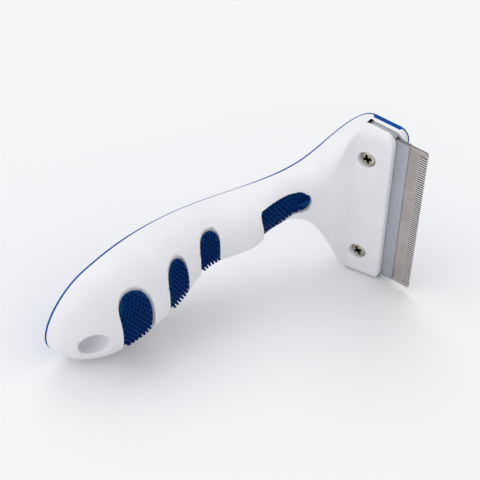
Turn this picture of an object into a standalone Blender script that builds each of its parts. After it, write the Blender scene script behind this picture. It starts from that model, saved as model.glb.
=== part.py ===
"""Undercoat rake for pets: an L-shaped grooming tool lying on its side.

The tool is built in its own frame, in millimetres: +X points along the teeth, +Y is the back of the
head, +Z runs along the blade, and the tool is symmetrical about Z = 0. The empty "lying_tool" then
turns the finished tool onto the floor, scales it to metres and puts the middle of its footprint at
the origin.
"""

import math

import bpy
import bmesh
import numpy as np
from mathutils import Matrix, Vector

MM = 0.001
GAP = 0.3                       # clearance between neighbouring pieces

# Back face of the tool from the blade edge to the end of the handle:
# x and y of the spine, half width along the blade, depth from the back face to the front face.
# Straight between the first two stations, a smooth curve from there on.
STATIONS = [
    (-10.8, 4.6, 35.3, 7.8),
    (-25.0, 4.6, 35.3, 10.9),
    (-36.0, 1.0, 27.0, 14.0),
    (-44.5, -7.0, 14.5, 13.0),
    (-51.5, -20.0, 9.0, 12.0),
    (-57.0, -31.0, 8.0, 19.0),
    (-60.5, -40.0, 8.5, 21.0),
    (-64.0, -55.0, 11.0, 17.5),
    (-65.5, -71.0, 14.0, 20.0),
    (-65.5, -91.0, 16.5, 21.2),
    (-65.2, -107.0, 16.0, 18.8),
    (-64.5, -122.8, 14.5, 15.5),
]
HEAD_HALF_WIDTH = 35.3
SIDE_WALL = 1.8                 # straight part of the side next to the back face
END_ROUNDING = 20.0             # length of the rounded end of the handle
CORNER_RADIUS = 4.0             # corners of the head beside the blade
HEAD_END = 22.0                 # along the spine, where the head's section starts to change
NECK = 50.0                     # along the spine, from where the section is fully rounded
HEAD_SIDE_RADIUS = 0.09         # of the half width, taken by the rounding of the head's front edges
HEAD_FRONT_RADIUS = 0.42        # of the depth, likewise
NECK_SQUARENESS = 2.6           # exponent of the rounding: 2 is an ellipse
HANDLE_SQUARENESS = 2.3
BACK_CROWN = 1.5                # how far the back of the handle bulges

WALL = 2.2
COVER_RIM = 0.6                 # thickness of the cover where its edge shows
COVER_PLUG = 2.0                # depth of the cover's locating plug inside the shell
CAVITY_START = 30.0             # along the spine
CAVITY_END = 147.0

FRONT_PLATE_EDGE = -12.4        # x of the front half of the head; the rear half reaches further
SLOT_END = -24.8                # x
SLOT_HALF = 1.15                # half thickness of the blade slot
HOLDER_HALF = 0.85
HOLDER_EDGE = -7.4              # x of the holder's folded edge
HOLDER_SHOULDER = -13.0         # x; the part in the slot is longer than the part outside
HOLDER_HALF_LENGTH = 33.45
HOLDER_SLOT_HALF_LENGTH = 34.9
BLADE_HALF_LENGTH = 33.65
BLADE_HALF_THICKNESS = 0.3
BLADE_BACK = -19.2              # x of the blade's hidden edge
TOOTH_ROOT = -3.1
TOOTH_PITCH = 1.0
TOOTH_COUNT = 62
TOOTH_GAP = 0.45

SCREW_X = -21.1
SCREW_Z = 22.9
COUNTERBORE_RADIUS = 3.3
COUNTERBORE_FLOOR = -3.2        # y
SCREW_HEAD_RADIUS = 2.9
SCREW_HEAD_HEIGHT = 1.5
SCREW_SHANK_RADIUS = 1.4
SCREW_TIP = 3.3                 # y
RIVET_X = -16.0
RIVET_Z = (-11.0, 0.0, 11.0)
RIVET_RADIUS = 1.2

TAB_X = (-26.0, -13.0)          # cover tab in the rim of the head, on each side
TAB_FRONT = 2.8                 # y
TAB_DEPTH = 2.0                 # along z

HANG_HOLE_X = -51.0
HANG_HOLE_Y = -113.7
HANG_HOLE_RADIUS = 4.8
HANG_HOLE_WALL = 2.0

# Windows of the grip pads, cut from the side across the underside of the handle: start and end
# along the spine, height above the underside, lean towards the head per height.
SIDE_WINDOWS = {
    "grip_pad_palm": (126.4, 139.9, 5.7, 0.14),
    "grip_pad_ring_finger": (107.2, 118.9, 5.1, 0.6),
    "grip_pad_middle_finger": (87.2, 98.0, 5.1, 0.8),
}
# Window of the index finger, cut from below, rounded at both ends. Each pair is a distance along
# the spine and the half width there; next to the head the window sits off the middle.
INDEX_PAD = "grip_pad_index_finger"
INDEX_START = 40.9
INDEX_ROUND_END = 45.0
INDEX_SLIM = (49.0, 4.7)
INDEX_BROAD = (55.0, 6.2)
INDEX_OFFSET = 1.6
INDEX_STOP = 64.6
INDEX_CORNER = 2.4
INDEX_DEPTH = 6.8
INDEX_SLOPE = ((53.0, 65.0), (0.0, 2.5))  # the pad dips towards the bump behind it
GRIP_PADS = [*SIDE_WINDOWS, INDEX_PAD]
PAD_RECESS = 0.3
PAD_FLANGE = 1.3

LYING_TILT = math.radians(10.64)  # the handle's end drops to the floor

WHITE = ("white_abs", (0.83, 0.83, 0.86), 0.28, 0.0)
BLUE = ("blue_abs", (0.0, 0.075, 0.36), 0.35, 0.0)
RUBBER = ("blue_rubber", (0.003, 0.03, 0.13), 0.6, 0.0)
STEEL = ("stainless_steel", (0.42, 0.40, 0.38), 0.35, 1.0)
HOLDER_STEEL = ("holder_steel", (0.42, 0.43, 0.46), 0.4, 1.0)
NICKEL = ("nickel_screw", (0.55, 0.48, 0.38), 0.3, 1.0)


def clear_scene():
    for obj in list(bpy.data.objects):
        bpy.data.objects.remove(obj)


def material(spec):
    name, colour, roughness, metallic = spec
    mat = bpy.data.materials.get(name) or bpy.data.materials.new(name)
    mat.use_nodes = True
    shader = mat.node_tree.nodes["Principled BSDF"]
    shader.inputs["Base Color"].default_value = (*colour, 1.0)
    shader.inputs["Roughness"].default_value = roughness
    shader.inputs["Metallic"].default_value = metallic
    return mat


# ---------------------------------------------------------------- outer form of the tool

def spline_bends(knots, values):
    """Second derivatives of the cubic spline whose first segment is straight."""
    count = len(knots)
    step = np.diff(knots)
    slopes = np.diff(values, axis=0) / step[:, None]
    system = np.eye(count)
    right = np.zeros(values.shape)
    system[1, 1:3] = 2 * step[1], step[1]
    right[1] = 6 * (slopes[1] - slopes[0])
    for i in range(2, count - 1):
        system[i, i - 1:i + 2] = step[i - 1], 2 * (step[i - 1] + step[i]), step[i]
        right[i] = 6 * (slopes[i] - slopes[i - 1])
    return np.linalg.solve(system, right)


STATION_VALUES = np.array(STATIONS, float)
CHORDS = np.hypot(*np.diff(STATION_VALUES[:, :2], axis=0).T)
KNOTS = np.concatenate([[0.0], np.cumsum(CHORDS)])
BENDS = spline_bends(KNOTS, STATION_VALUES)
SPINE_LENGTH = float(KNOTS[-1])


def spline_at(s):
    """x, y, half width and depth at the distance s along the spine."""
    i = int(np.clip(np.searchsorted(KNOTS, s) - 1, 0, len(KNOTS) - 2))
    h = KNOTS[i + 1] - KNOTS[i]
    a = (KNOTS[i + 1] - s) / h
    b = 1.0 - a
    bend = np.zeros(len(STATION_VALUES[0])) if i == 0 else (
        ((a ** 3 - a) * BENDS[i] + (b ** 3 - b) * BENDS[i + 1]) * h * h / 6)
    return a * STATION_VALUES[i] + b * STATION_VALUES[i + 1] + bend


def spine_frame(s):
    """Point on the spine and the unit direction from the back face towards the front face."""
    point = spline_at(s)[:2]
    ahead = spline_at(min(s + 0.05, SPINE_LENGTH))[:2]
    behind = spline_at(max(s - 0.05, 0.0))[:2]
    along = (ahead - behind) / np.linalg.norm(ahead - behind)
    return point, np.array([-along[1], along[0]])


def end_factor(s):
    """1 along the tool, falling to 0 like a circle at the end of the handle."""
    t = max(0.0, (s - (SPINE_LENGTH - END_ROUNDING)) / END_ROUNDING)
    return math.sqrt(max(0.0, 1.0 - t * t))


def half_width(s):
    width = min(spline_at(s)[2], HEAD_HALF_WIDTH) * end_factor(s)
    if s < CORNER_RADIUS:
        width -= CORNER_RADIUS - math.sqrt(CORNER_RADIUS ** 2 - (CORNER_RADIUS - s) ** 2)
    return width


def depth(s):
    return spline_at(s)[3] * (0.25 + 0.75 * end_factor(s))


def rounding(s):
    """Share of the half width and of the depth that the rounding takes, and its exponent."""
    return (float(np.interp(s, [0, HEAD_END, NECK], [HEAD_SIDE_RADIUS, 0.12, 1])),
            float(np.interp(s, [0, HEAD_END, NECK], [HEAD_FRONT_RADIUS, 0.5, 1])),
            float(np.interp(s, [0, NECK, SPINE_LENGTH], [2.0, NECK_SQUARENESS, HANDLE_SQUARENESS])))


def crown(s):
    return BACK_CROWN * float(np.interp(s, [30, 60], [0, 1])) * end_factor(s)


def front_section(s, back, inset, steps, dip=0.0):
    """Section points (depth, z) of the tool's front form, from +z over the front to -z."""
    w = max(half_width(s) - inset, 0.4)
    d = max(depth(s) - inset - dip, back + 0.6)
    side = min(max(SIDE_WALL, back + 0.2), d - 0.3)
    share_z, share_d, exponent = rounding(s)
    flat_z, flat_d = w * (1 - share_z), side + (d - side) * (1 - share_d)
    half = []
    for i in range(steps // 2 + 1):
        angle = math.pi / 2 * (1 - 2 * i / steps)
        reach = abs(round(math.cos(angle), 9)) ** (2.0 / exponent)
        across = abs(round(math.sin(angle), 9)) ** (2.0 / exponent)
        half.append((flat_d + (d - flat_d) * reach, flat_z + (w - flat_z) * across))
    return ([(back, w), (side, w)] + half + [(deep, -z) for deep, z in half[::-1]]
            + [(side, -w), (back, -w)])


def cover_section(s, top, bottom, inset, steps):
    """Section points of a plate that follows the back face between two depths."""
    w = max(half_width(s) - inset, 0.4)
    bulge = crown(s)
    zs = [w * math.cos(math.pi * i / steps) for i in range(steps + 1)]
    outer = [(top - bulge * (1 - (z / w) ** 2), z) for z in zs]
    return outer + [(bottom, -w), (bottom, w)]


def loft(name, stations, section):
    """Closed solid through the sections at the given distances along the spine."""
    bm = bmesh.new()
    rings = []
    for s in stations:
        point, inward = spine_frame(s)
        rings.append([bm.verts.new((point[0] + inward[0] * d, point[1] + inward[1] * d, z))
                      for d, z in section(s)])
    count = len(rings[0])
    for lower, upper in zip(rings, rings[1:]):
        for i in range(count):
            j = (i + 1) % count
            bm.faces.new((lower[i], lower[j], upper[j], upper[i]))
    bm.faces.new(rings[0][::-1])
    bm.faces.new(rings[-1])
    return finish_mesh(bm, name)


def finish_mesh(bm, name):
    bmesh.ops.remove_doubles(bm, verts=bm.verts, dist=0.01)
    bmesh.ops.recalc_face_normals(bm, faces=bm.faces)
    mesh = bpy.data.meshes.new(name)
    bm.to_mesh(mesh)
    bm.free()
    obj = bpy.data.objects.new(name, mesh)
    bpy.context.scene.collection.objects.link(obj)
    return obj


# ---------------------------------------------------------------- simple solids and cuts

def box(name, x, y, z):
    bm = bmesh.new()
    bmesh.ops.create_cube(bm, size=1.0)
    centre = Vector([(lo + hi) / 2 for lo, hi in (x, y, z)])
    size = Vector([hi - lo for lo, hi in (x, y, z)])
    bmesh.ops.transform(bm, verts=bm.verts, matrix=Matrix.Translation(centre) @ Matrix.Diagonal((*size, 1)))
    return finish_mesh(bm, name)


def prism(name, outline, low, high, plane="xy"):
    """Extrudes an outline in the xy or the xz plane along the remaining axis."""
    def place(p, height):
        return (p[0], p[1], height) if plane == "xy" else (p[0], height, p[1])
    bm = bmesh.new()
    lower = [bm.verts.new(place(p, low)) for p in outline]
    upper = [bm.verts.new(place(p, high)) for p in outline]
    count = len(outline)
    for i in range(count):
        j = (i + 1) % count
        bm.faces.new((lower[i], lower[j], upper[j], upper[i]))
    bm.faces.new(lower[::-1])
    bm.faces.new(upper)
    return finish_mesh(bm, name)


def arc(x, y, radius, start, stop, steps):
    """Points of a circular arc; angles in degrees."""
    angles = [math.radians(start + (stop - start) * i / steps) for i in range(steps + 1)]
    return [(x + radius * math.cos(a), y + radius * math.sin(a)) for a in angles]


def circle(x, y, radius, steps):
    return arc(x, y, radius, 0, 360 - 360 / steps, steps - 1)


def rod(name, x, z, radius, y, steps=20):
    """Cylinder along y."""
    return prism(name, circle(x, z, radius, steps), y[0], y[1], plane="xz")


def combine(target, tool, operation):
    """Applies one Boolean to target and removes the tool."""
    bpy.context.view_layer.update()
    modifier = target.modifiers.new(operation.lower(), "BOOLEAN")
    modifier.operation = operation
    modifier.object = tool
    modifier.solver = "EXACT"
    result = bpy.data.meshes.new_from_object(
        target.evaluated_get(bpy.context.evaluated_depsgraph_get()))
    target.modifiers.clear()
    old = target.data
    target.data = result
    bpy.data.meshes.remove(old)
    bpy.data.objects.remove(tool)
    return target


def cut(target, *tools):
    for tool in tools:
        combine(target, tool, "DIFFERENCE")
    return target


def join(target, *tools):
    for tool in tools:
        combine(target, tool, "UNION")
    return target


# ---------------------------------------------------------------- stations of the lofts

def tool_stations(count, start=0.0, stop=None):
    """Distances along the spine, closer together at the rounded ends."""
    stop = SPINE_LENGTH if stop is None else stop
    inner = list(np.linspace(start, stop, count))
    if start < CORNER_RADIUS:
        inner += [start + CORNER_RADIUS * t for t in (0.08, 0.3, 0.6, 1.0)]
    if stop > SPINE_LENGTH - 1:
        inner += [SPINE_LENGTH - END_ROUNDING * t for t in (0.02, 0.07, 0.15, 0.28)]
    return sorted(set(round(float(s), 3) for s in inner))


def outer_form(name, inset, back, count=46, steps=22, start=0.0, stop=None, dip=lambda s: 0.0):
    return loft(name, tool_stations(count, start, stop),
                lambda s: front_section(s, back, inset, steps, dip(s)))


# ---------------------------------------------------------------- the pieces

def underside_point(s, rise):
    """Point in the side view at a height above the underside of the handle."""
    point, inward = spine_frame(s)
    return tuple(point + inward * (depth(s) - rise))


def side_window(name, grow):
    """Cutter of a window that is cut from the side."""
    start, stop, height, lean = SIDE_WINDOWS[name]
    steps = 18
    outline = [underside_point(start - grow, -6.0)]
    for i in range(steps + 1):
        angle = math.pi * i / steps
        rise = (height + grow) * math.sin(angle)
        s = (start + stop) / 2 - ((stop - start) / 2 + grow) * math.cos(angle) - lean * rise
        outline.append(underside_point(s, rise))
    outline.append(underside_point(stop + grow, -6.0))
    return prism(name + "_cutter", outline, -HEAD_HALF_WIDTH, HEAD_HALF_WIDTH)


def index_half_width(s, grow):
    """Half width of the index finger's window at the distance s along the spine."""
    width = float(np.interp(s, *zip(INDEX_SLIM, INDEX_BROAD))) + grow
    start, stop = INDEX_START - grow, INDEX_STOP + grow
    if s < INDEX_ROUND_END:
        width *= math.sqrt(max(0.0, 1 - ((INDEX_ROUND_END - s) / (INDEX_ROUND_END - start)) ** 2))
    if s > stop - INDEX_CORNER:
        width -= INDEX_CORNER - math.sqrt(max(0.0, INDEX_CORNER ** 2 - (s - stop + INDEX_CORNER) ** 2))
    return max(width, 0.3)


def index_window(grow):
    """Cutter of the index finger's window, from below the handle."""
    start, stop = INDEX_START - grow, INDEX_STOP + grow
    stations = [start + (INDEX_ROUND_END - start) * t for t in (0, 0.03, 0.12, 0.28, 0.55, 1)]
    stations += list(np.linspace(INDEX_ROUND_END, stop - INDEX_CORNER, 8))[1:]
    stations += [stop - INDEX_CORNER * t for t in (0.6, 0.3, 0.1, 0)]

    def section(s):
        w = index_half_width(s, grow)
        middle = float(np.interp(s, (INDEX_SLIM[0], INDEX_BROAD[0]), (INDEX_OFFSET, 0)))
        top, bottom = depth(s) - INDEX_DEPTH - grow, depth(s) + 5.0
        return [(top, middle + w), (bottom, middle + w), (bottom, middle - w), (top, middle - w)]
    return loft("index_cutter", stations, section)


def window_cutter(name, grow):
    """Cutter of a grip pad's window, grown or shrunk by the given amount."""
    return index_window(grow) if name == INDEX_PAD else side_window(name, grow)


def front_plate_cutter():
    """What is cut from the front half of the head so that its corners are round."""
    x, z, r = FRONT_PLATE_EDGE, HEAD_HALF_WIDTH, CORNER_RADIUS
    outline = [(0, z + 5), (0, -z - 5), (x - r, -z - 5)]
    outline += arc(x - r, -z + r, r, -90, 0, 6) + arc(x - r, z - r, r, 0, 90, 6)
    outline += [(x - r, z + 5)]
    return prism("front_plate_cutter", outline, -20.0, 0.0, plane="xz")


def hang_hole(name, radius, low, high):
    """Solid along the axis of the hang hole, from the given depths behind and in front of it."""
    steps = 24
    ring = []
    for i in range(steps):
        a = 2 * math.pi * i / steps
        ring.append((HANG_HOLE_Y + radius * math.cos(a), radius * math.sin(a)))
    bm = bmesh.new()
    lower = [bm.verts.new((low, y, z)) for y, z in ring]
    upper = [bm.verts.new((high, y, z)) for y, z in ring]
    for i in range(steps):
        j = (i + 1) % steps
        bm.faces.new((lower[i], lower[j], upper[j], upper[i]))
    bm.faces.new(lower[::-1])
    bm.faces.new(upper)
    return finish_mesh(bm, name)


def handle_shell():
    back = COVER_RIM + GAP
    shell = outer_form("handle_shell", 0.0, back)
    cavity = outer_form("cavity", WALL, back - 3.0, 34, 16, CAVITY_START, CAVITY_END)
    boss = hang_hole("hang_boss", HANG_HOLE_RADIUS + HANG_HOLE_WALL, -70.0, HANG_HOLE_X - 3.0)
    cavity = cut(cavity, boss)
    cut(shell, cavity, hang_hole("hang_bore", HANG_HOLE_RADIUS, -80.0, -30.0))
    for name in GRIP_PADS:
        cut(shell, window_cutter(name, 0.0))
    wide = HEAD_HALF_WIDTH + 5
    cut(shell, box("slot", (SLOT_END, 0), (-SLOT_HALF, SLOT_HALF), (-wide, wide)), front_plate_cutter())
    for side in (-1, 1):
        z = side * SCREW_Z
        cut(shell, rod("counterbore", SCREW_X, z, COUNTERBORE_RADIUS, (-20, COUNTERBORE_FLOOR), 28))
        cut(shell, rod("screw_hole", SCREW_X, z, SCREW_SHANK_RADIUS + GAP, (-8, 10), 16))
        low, high = sorted((side * (HEAD_HALF_WIDTH - TAB_DEPTH - GAP), side * wide))
        cut(shell, box("tab_notch", (TAB_X[0] - GAP, TAB_X[1] + GAP), (TAB_FRONT - GAP, 10), (low, high)))
    return shell


def back_cover():
    stations = tool_stations(44)
    cover = loft("back_cover", stations, lambda s: cover_section(s, 0.0, COVER_RIM, 0.0, 10))
    inset = WALL + GAP
    plug = loft("plug", tool_stations(26, CAVITY_START + GAP, CAVITY_END - GAP),
                lambda s: [(COVER_RIM - 0.3, half_width(s) - inset), (COVER_RIM - 0.3, inset - half_width(s)),
                           (COVER_PLUG, inset - half_width(s)), (COVER_PLUG, half_width(s) - inset)])
    clear_boss = hang_hole("boss_clearance", HANG_HOLE_RADIUS + HANG_HOLE_WALL + GAP, -80.0, -30.0)
    join(cover, cut(plug, clear_boss))
    for side in (-1, 1):
        low, high = sorted((side * (HEAD_HALF_WIDTH - TAB_DEPTH), side * HEAD_HALF_WIDTH))
        join(cover, box("tab", TAB_X, (TAB_FRONT, 4.6 - COVER_RIM / 2), (low, high)))
    return cut(cover, hang_hole("cover_hole", HANG_HOLE_RADIUS, -80.0, -30.0))


def grip_pad(name):
    """Rubber pad with a retaining flange behind its window."""
    start, stop = (INDEX_START, INDEX_STOP) if name == INDEX_PAD else SIDE_WINDOWS[name][:2]
    start, stop = start - 8.0, stop + 5.0

    def dip(s):
        return float(np.interp(s, *INDEX_SLOPE)) if name == INDEX_PAD else 0.0

    def layer(label, outer, inner, grow):
        body = outer_form(label, outer, COVER_PLUG + 1.0, 18, 20, start, stop, dip)
        hollow = outer_form(label + "_hollow", inner, COVER_PLUG - 1.0, 18, 20, start - 2, stop + 2, dip)
        cut(body, hollow)
        return combine(body, window_cutter(name, grow), "INTERSECT")
    pad = layer(name, PAD_RECESS, WALL + PAD_FLANGE - 0.4, -GAP)
    flange = layer("flange", WALL + GAP, WALL + PAD_FLANGE, PAD_FLANGE)
    return join(pad, flange)


def blade():
    """Comb blade: a strip with a row of fine teeth and a solid guard at each end."""
    half = BLADE_HALF_LENGTH
    radius = 1.2
    row = TOOTH_PITCH * TOOTH_COUNT / 2
    outline = [(BLADE_BACK, half), (BLADE_BACK, -half)]
    outline += arc(-radius, -half + radius, radius, -90, 0, 3)
    for i in range(TOOTH_COUNT + 1):
        centre = -row + i * TOOTH_PITCH
        low, high = centre - TOOTH_GAP / 2, centre + TOOTH_GAP / 2
        outline += [(0.0, low), (TOOTH_ROOT, low), (TOOTH_ROOT, high), (0.0, high)]
    outline += arc(-radius, half - radius, radius, 0, 90, 3)
    strip = prism("blade", outline, -BLADE_HALF_THICKNESS, BLADE_HALF_THICKNESS, plane="xz")
    for z in RIVET_Z:
        cut(strip, rod("rivet_hole", RIVET_X, z, RIVET_RADIUS + GAP, (-5, 5), 12))
    return strip


def blade_holder():
    """Folded steel channel that clamps the blade; its bend lies in the head's slot."""
    inner = BLADE_HALF_THICKNESS + GAP - 0.02
    outline = [(HOLDER_EDGE, HOLDER_HALF), (SLOT_END + GAP, HOLDER_HALF), (SLOT_END + GAP, -HOLDER_HALF),
               (HOLDER_EDGE, -HOLDER_HALF), (HOLDER_EDGE, -inner), (BLADE_BACK - GAP, -inner),
               (BLADE_BACK - GAP, inner), (HOLDER_EDGE, inner)]
    channel = prism("blade_holder", outline, -HOLDER_SLOT_HALF_LENGTH, HOLDER_SLOT_HALF_LENGTH)
    for side in (-1, 1):
        low, high = sorted((side * HOLDER_HALF_LENGTH, side * (HOLDER_SLOT_HALF_LENGTH + 1)))
        cut(channel, box("shoulder", (HOLDER_SHOULDER, 0), (-5, 5), (low, high)))
        cut(channel, rod("hole", SCREW_X, side * SCREW_Z, SCREW_SHANK_RADIUS + GAP, (-5, 5), 16))
    for z in RIVET_Z:
        cut(channel, rod("hole", RIVET_X, z, RIVET_RADIUS + GAP, (-5, 5), 12))
    return channel


def blade_rivet(name, z):
    return rod(name, RIVET_X, z, RIVET_RADIUS, (-HOLDER_HALF, HOLDER_HALF), 12)


def head_screw(name, z):
    """Pan-head Phillips screw, turned profile with a crossed recess."""
    seat = COUNTERBORE_FLOOR - GAP
    crown_height = SCREW_HEAD_HEIGHT
    head_r, shank_r = SCREW_HEAD_RADIUS, SCREW_SHANK_RADIUS
    profile = [(0.0, seat - crown_height), (head_r * 0.45, seat - crown_height * 0.97),
               (head_r * 0.8, seat - crown_height * 0.8), (head_r, seat - crown_height * 0.35),
               (head_r, seat), (shank_r, seat), (shank_r, SCREW_TIP - 1.0), (0.0, SCREW_TIP)]
    steps = 24
    bm = bmesh.new()
    rings = []
    for r, y in profile:
        if r == 0.0:
            rings.append([bm.verts.new((SCREW_X, y, z))])
        else:
            rings.append([bm.verts.new((SCREW_X + r * math.cos(2 * math.pi * i / steps), y,
                                        z + r * math.sin(2 * math.pi * i / steps))) for i in range(steps)])
    for first, second in zip(rings, rings[1:]):
        for i in range(steps):
            j = (i + 1) % steps
            corners = [first[i % len(first)], first[j % len(first)], second[j % len(second)],
                       second[i % len(second)]]
            bm.faces.new(list(dict.fromkeys(corners)))
    screw = finish_mesh(bm, name)
    top = seat - crown_height
    for a, b in ((1.7, 0.45), (0.45, 1.7)):
        cut(screw, box("recess", (SCREW_X - a, SCREW_X + a), (top - 1, top + 0.9), (z - b, z + b)))
    return screw


def dress(obj, spec, parent, sharp_angle=40.0):
    obj.data.materials.clear()
    obj.data.materials.append(material(spec))
    obj.data.shade_smooth()
    obj.data.set_sharp_from_angle(angle=math.radians(sharp_angle))
    obj.parent = parent


def lay_down(parent):
    """Turns the tool so that the head's side and the end of the handle rest on the floor."""
    turn = Matrix.Rotation(LYING_TILT, 4, "X") @ Matrix.Scale(MM, 4)
    corners = [turn @ v.co for obj in parent.children for v in obj.data.vertices]
    low = Vector([min(c[i] for c in corners) for i in range(3)])
    high = Vector([max(c[i] for c in corners) for i in range(3)])
    shift = Vector((-(low.x + high.x) / 2, -(low.y + high.y) / 2, -low.z))
    parent.rotation_euler = (LYING_TILT, 0.0, 0.0)
    parent.scale = (MM, MM, MM)
    parent.location = shift


def build():
    clear_scene()
    tool = bpy.data.objects.new("lying_tool", None)
    bpy.context.scene.collection.objects.link(tool)
    dress(handle_shell(), WHITE, tool)
    dress(back_cover(), BLUE, tool)
    for name in GRIP_PADS:
        dress(grip_pad(name), RUBBER, tool)
    dress(blade(), STEEL, tool)
    dress(blade_holder(), HOLDER_STEEL, tool)
    for index, z in enumerate(RIVET_Z):
        dress(blade_rivet(f"blade_rivet_{index + 1}", z), STEEL, tool)
    dress(head_screw("head_screw_upper", SCREW_Z), NICKEL, tool)
    dress(head_screw("head_screw_lower", -SCREW_Z), NICKEL, tool)
    lay_down(tool)
    bpy.context.view_layer.update()


build()
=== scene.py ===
import math

import bpy
import bmesh
import numpy as np
from mathutils import Matrix, Vector
from mathutils.bvhtree import BVHTree


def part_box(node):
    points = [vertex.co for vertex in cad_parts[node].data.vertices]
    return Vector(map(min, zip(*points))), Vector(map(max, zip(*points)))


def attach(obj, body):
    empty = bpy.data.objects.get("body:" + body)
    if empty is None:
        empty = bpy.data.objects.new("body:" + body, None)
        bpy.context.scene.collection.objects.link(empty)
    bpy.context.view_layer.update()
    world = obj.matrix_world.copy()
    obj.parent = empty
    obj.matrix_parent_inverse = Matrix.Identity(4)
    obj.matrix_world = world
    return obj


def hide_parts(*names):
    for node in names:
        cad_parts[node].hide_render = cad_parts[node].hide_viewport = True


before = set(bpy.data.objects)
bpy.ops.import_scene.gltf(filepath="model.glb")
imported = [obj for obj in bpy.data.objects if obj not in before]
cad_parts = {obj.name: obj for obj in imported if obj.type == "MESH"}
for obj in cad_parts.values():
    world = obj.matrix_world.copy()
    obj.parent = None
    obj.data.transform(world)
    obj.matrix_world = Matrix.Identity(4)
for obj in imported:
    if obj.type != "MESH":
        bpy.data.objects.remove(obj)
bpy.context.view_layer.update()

# The visual model is built in the tool's own frame, in millimetres: +X along the teeth, +Y the back
# of the head, +Z along the blade, origin in the middle of the line of tooth tips.
MM = 0.001
LYING_TILT = math.radians(10.64)

STATIONS = [  # x and y of the back face, half width, depth to the front face
    (-10.8, 4.6, 35.3, 7.8),
    (-25.0, 4.6, 35.3, 10.9),
    (-36.0, 1.0, 27.0, 14.0),
    (-44.5, -7.0, 14.5, 13.0),
    (-51.5, -20.0, 9.0, 12.0),
    (-57.0, -31.0, 8.0, 19.0),
    (-60.5, -40.0, 8.5, 21.0),
    (-64.0, -55.0, 11.0, 17.5),
    (-65.5, -71.0, 14.0, 20.0),
    (-65.5, -91.0, 16.5, 21.2),
    (-65.2, -107.0, 16.0, 18.8),
    (-64.5, -122.8, 14.5, 15.5),
]
HEAD_HALF_WIDTH = 35.3
SIDE_WALL = 1.8                 # straight part of the side next to the back face
END_ROUNDING = 20.0             # length of the rounded end of the handle
CORNER_RADIUS = 4.0             # corners of the head beside the blade
HEAD_END = 22.0                 # along the spine, where the head gives way to the neck
NECK = 50.0                     # along the spine, from where the section is fully rounded
HEAD_SIDE_RADIUS = 0.09         # of the half width, taken by the rounding of the head's front edges
HEAD_FRONT_RADIUS = 0.42        # of the depth, likewise
NECK_SQUARENESS = 2.6           # exponent of the rounding: 2 is an ellipse
HANDLE_SQUARENESS = 2.3
BACK_CROWN = 1.5                # how far the back of the handle bulges
COVER_RIM = 0.58                # thickness of the cover where its edge shows
COVER_INSET = ((48.0, 66.0, 100.0, 122.0), (0.0, 0.42, 0.38, 0.0))  # behind the shell's side
COVER_EDGE = 0.22               # rounding of the cover's rim
SEAM = 0.08                     # between the shell and the cover

FRONT_PLATE_EDGE = -12.4        # x of the front half of the head; the rear half reaches further
PLATE_FILLET = 0.9              # rounding of the front plate's edge
SLOT_END = -24.8                # x
SLOT_FRONT = -0.92              # y
SLOT_BACK = 1.15                # y
HOLDER_HALF = 0.85
HOLDER_EDGE = -7.4              # x of the holder's folded edge
HOLDER_SHOULDER = -13.0         # x; the part in the slot is longer than the part outside
HOLDER_HALF_LENGTH = 33.45
HOLDER_SLOT_HALF_LENGTH = 34.9
BLADE_HALF_LENGTH = 33.65
BLADE_HALF_THICKNESS = 0.3
BLADE_BACK = -19.2              # x of the blade's hidden edge
BLADE_PLAY = 0.06               # between the blade and the holder around it
GUARD_RADIUS = 1.2              # corners of the solid guards at the blade's ends
TOOTH_ROOT = -3.1
TOOTH_PITCH = 1.0
TOOTH_COUNT = 62
TOOTH_ROW = TOOTH_PITCH * TOOTH_COUNT / 2  # half length of the row
TOOTH_GAP = 0.5
TOOTH_TIP = 0.12                # chamfer of the tips
TOOTH_NOOK = 0.1                # chamfer between the teeth

SCREW_X = -21.1
SCREW_Z = 22.9
COUNTERBORE_RADIUS = 3.3
COUNTERBORE_FLOOR = -3.2        # y
SCREW_HEAD_RADIUS = 2.9
SCREW_HEAD_HEIGHT = 1.5
SCREW_SHANK_RADIUS = 1.4
SCREW_TURNS = (("head_screw_upper", SCREW_Z, 0.35), ("head_screw_lower", -SCREW_Z, 0.62))
SHELL_SCREW_PLAY = 0.3          # around the screws' shanks
HOLDER_SCREW_PLAY = 0.17
RIVET_X = -16.0
RIVET_Z = (-11.0, 0.0, 11.0)
RIVET_RADIUS = 1.2
RIVET_PLAY = 0.1

TAB_X = (-26.0, -13.0)          # cover tab in the rim of the head, on each side
TAB_FRONT = 2.8                 # y
TAB_DEPTH = 2.0                 # along z
TAB_SLANT = 1.2                 # of the tab's two ends, along x

HANG_HOLE_Y = -113.7
HANG_HOLE_RADIUS = 4.35
HANG_HOLE_FILLET = 0.7

# Windows of the grip pads, cut from the side across the underside of the handle, and the window of
# the index finger, cut from below and rounded at both ends. Next to the head it sits off the middle.
SIDE_WINDOWS = {  # start and end along the spine, height above the underside, lean towards the head
    "grip_pad_palm": (126.4, 139.9, 5.7, 0.14),
    "grip_pad_ring_finger": (107.2, 118.9, 5.1, 0.6),
    "grip_pad_middle_finger": (87.2, 98.0, 5.1, 0.8),
}
INDEX_PAD = "grip_pad_index_finger"
INDEX_START = 40.9
INDEX_ROUND_END = 45.0
INDEX_SLIM = (49.0, 4.7)        # along the spine, half width
INDEX_BROAD = (55.0, 6.2)
INDEX_OFFSET = 1.6
INDEX_STOP = 64.6
INDEX_CORNER = 2.4
INDEX_SLOPE = ((53.0, 65.0), (0.0, 2.5))  # the pad dips towards the bump behind it
GRIP_PADS = [*SIDE_WINDOWS, INDEX_PAD]
POCKET_DEPTH = 3.6              # below the tool's surface
WINDOW_OVERSHOOT = 5.0          # how far the windows' cutters reach past the surface and the pocket
PAD_RECESS = 0.9
PAD_GROOVE = 0.34               # width of the groove around the pad, inside its window
GROOVE_FLOOR = 1.9              # below the tool's surface
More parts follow.
